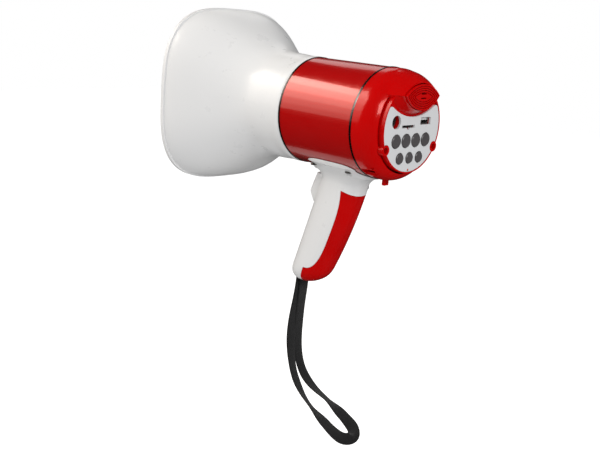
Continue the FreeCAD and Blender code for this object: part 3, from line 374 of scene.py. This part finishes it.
def centre_line(points, resolution=12):
    """Points along the smooth curve that the route steers."""
    data = bpy.data.curves.new("strap_line", "CURVE")
    data.dimensions = "3D"
    spline = data.splines.new("NURBS")
    spline.points.add(len(points) - 1)
    for point, place in zip(spline.points, points):
        point.co = (*place, 1)
    spline.order_u = 3
    spline.use_endpoint_u = True
    spline.resolution_u = resolution
    holder = bpy.data.objects.new("strap_line", data)
    scene.collection.objects.link(holder)
    bpy.context.view_layer.update()
    line = bpy.data.meshes.new_from_object(holder)
    found = [vertex.co.copy() for vertex in line.vertices]
    bpy.data.objects.remove(holder)
    bpy.data.meshes.remove(line)
    return found


def lengths_along(path):
    total = [0.0]
    for before, here in zip(path, path[1:]):
        total.append(total[-1] + (here - before).length)
    return total


def tape_rolls(path):
    """The line's direction and the tape's width direction at each point of the path."""
    along = lengths_along(path)
    tangents = []
    for number in range(len(path)):
        before, after = path[max(number - 1, 0)], path[min(number + 1, len(path) - 1)]
        tangents.append((after - before).normalized())
    sides = [tangent.cross(SIDE_GUIDE).normalized() for tangent in tangents]
    axes = []
    for tangent, side, place in zip(tangents, sides, along):
        share = place / along[-1]
        deep = side.cross(tangent)
        for (start, low), (end, high) in zip(TAPE_TURNS, TAPE_TURNS[1:]):
            if share <= end:
                way = (share - start) / (end - start)
                way = way * way * (3 - 2 * way)
                turn = math.radians(low + (high - low) * way)
                break
        axes.append(side * math.cos(turn) + deep * math.sin(turn))
    return tangents, axes


def make_strap():
    """A woven ribbon with rounded edges along the strap's line."""
    path = centre_line(STRAP_ROUTE)
    along = lengths_along(path)
    section = []
    half_width, half_thick = STRAP_WIDTH / 2, STRAP_THICKNESS / 2
    for step in range(SECTION_POINTS):
        turn = math.tau * step / SECTION_POINTS
        section.append((half_width * math.copysign(abs(math.cos(turn)) ** 0.35, math.cos(turn)),
                        half_thick * math.copysign(abs(math.sin(turn)) ** 0.6, math.sin(turn))))
    work = bmesh.new()
    uv = work.loops.layers.uv.new("length_width")
    rings = []
    for centre, tangent, across in zip(path, *tape_rolls(path)):
        flat_axis = tangent.cross(across).normalized()
        rings.append([work.verts.new(centre + across * x + flat_axis * y) for x, y in section])
    for number in range(len(rings) - 1):
        for step in range(SECTION_POINTS):
            following = (step + 1) % SECTION_POINTS
            corners = [(rings[number][step], number, step), (rings[number][following], number, following),
                       (rings[number + 1][following], number + 1, following),
                       (rings[number + 1][step], number + 1, step)]
            face = work.faces.new([corner[0] for corner in corners])
            face.smooth = True
            for loop, (_, ring, point) in zip(face.loops, corners):
                loop[uv].uv = (along[ring], section[point][0])
    for ring in (rings[0], rings[-1]):
        cap = work.faces.new(ring)
        cap.smooth = False
    bmesh.ops.recalc_face_normals(work, faces=work.faces)
    mesh = bpy.data.meshes.new("wrist_strap_tape")
    work.to_mesh(mesh)
    work.free()
    tape = bpy.data.objects.new("wrist_strap_tape", mesh)
    scene.collection.objects.link(tape)
    finish_piece(tape, "webbing", "housing", "wrist_strap")
    print("strap length", round(along[-1], 4))


make_strap()

# ---- studio ------------------------------------------------------------------------------------------


FLOOR_HALF_SIZE = 4.0
FLOOR_DROP = 0.22


def backdrop():
    """A level pale floor well below the strap."""
    graph = Graph("sweep_white")
    graph.link(graph.colours(graph.noise(1.5), (0.3, (0.92, 0.92, 0.92)), (0.7, (0.95, 0.95, 0.95))),
               graph.shader.inputs["Base Color"])
    graph.set(Roughness=0.9, Specular_IOR_Level=0.1, Emission_Color=(1, 1, 1, 1), Emission_Strength=0.62)
    work = bmesh.new()
    bmesh.ops.create_grid(work, x_segments=24, y_segments=24, size=FLOOR_HALF_SIZE)
    for vertex in work.verts:
        vertex.co.z = cad_box[0][2] - FLOOR_DROP
    mesh = bpy.data.meshes.new("sweep")
    work.to_mesh(mesh)
    work.free()
    sweep = bpy.data.objects.new("sweep", mesh)
    sweep.data.materials.append(graph.material)
    scene.collection.objects.link(sweep)
    sweep.visible_glossy = False
    sweep.visible_diffuse = False


def area_light(name, place, target, width, height, power, colour=(1, 1, 1)):
    """A rectangular softbox aimed at target."""
    data = bpy.data.lights.new(name, "AREA")
    data.shape = "RECTANGLE"
    data.size = width
    data.size_y = height
    data.energy = power
    data.color = colour
    light = bpy.data.objects.new(name, data)
    light.location = place
    light.rotation_euler = (Vector(target) - Vector(place)).to_track_quat("-Z", "Y").to_euler()
    scene.collection.objects.link(light)


def graded_box(name, place, target, width, height, powers, colour):
    """A tall softbox in level slices, from its foot to its top, so that its reflection fades downwards."""
    toward = (Vector(target) - Vector(place)).normalized()
    rise = (Vector((0, 0, 1)) - toward * toward.z).normalized()
    slice_height = height / len(powers)
    for number, power in enumerate(powers):
        middle = Vector(place) + rise * ((number + 0.5) * slice_height - height / 2)
        area_light(f"{name}_{number}", middle, middle + toward, width, slice_height, power, colour)


FILL_BELOW, FILL_ABOVE = 0.76, 0.48
ROOM_IN_REFLECTIONS = 0.015
SEEN_DIRECTLY = 1.0


def studio_world():
    """A white surround where it is seen directly, an even soft fill and a darker room in reflections."""
    world = bpy.data.worlds.new("studio")
    scene.world = world
    world.use_nodes = True
    tree = world.node_tree
    tree.nodes.clear()
    rays = tree.nodes.new("ShaderNodeLightPath")
    place = tree.nodes.new("ShaderNodeTexCoord")
    split = tree.nodes.new("ShaderNodeSeparateXYZ")
    height = tree.nodes.new("ShaderNodeMapRange")
    height.inputs["From Min"].default_value = -1
    height.inputs["From Max"].default_value = 1
    height.inputs["To Min"].default_value = FILL_BELOW
    height.inputs["To Max"].default_value = FILL_ABOVE
    tree.links.new(place.outputs["Generated"], split.inputs["Vector"])
    tree.links.new(split.outputs["Z"], height.inputs["Value"])
    levels = []
    for strength in (ROOM_IN_REFLECTIONS, None, SEEN_DIRECTLY):
        level = tree.nodes.new("ShaderNodeBackground")
        level.inputs["Color"].default_value = (1, 1, 1, 1)
        if strength is None:
            tree.links.new(height.outputs["Result"], level.inputs["Strength"])
        else:
            level.inputs["Strength"].default_value = strength
        levels.append(level)
    mirrored, fill, seen = levels
    soft = tree.nodes.new("ShaderNodeMixShader")
    tree.links.new(rays.outputs["Is Glossy Ray"], soft.inputs["Fac"])
    tree.links.new(fill.outputs["Background"], soft.inputs[1])
    tree.links.new(mirrored.outputs["Background"], soft.inputs[2])
    mix = tree.nodes.new("ShaderNodeMixShader")
    tree.links.new(rays.outputs["Is Camera Ray"], mix.inputs["Fac"])
    tree.links.new(soft.outputs["Shader"], mix.inputs[1])
    tree.links.new(seen.outputs["Background"], mix.inputs[2])
    out = tree.nodes.new("ShaderNodeOutputWorld")
    tree.links.new(mix.outputs["Shader"], out.inputs["Surface"])


studio_world()
backdrop()
# The tall graded softbox mirrored along the band, then one for the panel and weak ones for the rims.
graded_box("strip_box", (0.80, -0.98, 0.66), (0.03, 0.0, 0.11), 0.95, 1.20,
           (0.8, 1.2, 2.1, 3.3, 4.7), (1.0, 0.93, 0.84))
area_light("front_box", (0.55, 1.25, 0.75), (0.0, 0.04, 0.11), 0.6, 0.5, 10.0)
area_light("top_box", (-0.9, -0.9, 0.85), (0.0, 0.0, 0.12), 0.45, 0.45, 0.5)
area_light("low_box", (-0.25, -0.9, -1.0), (0.0, 0.0, 0.08), 0.6, 0.3, 0.3)
scene.view_settings.view_transform = "Standard"
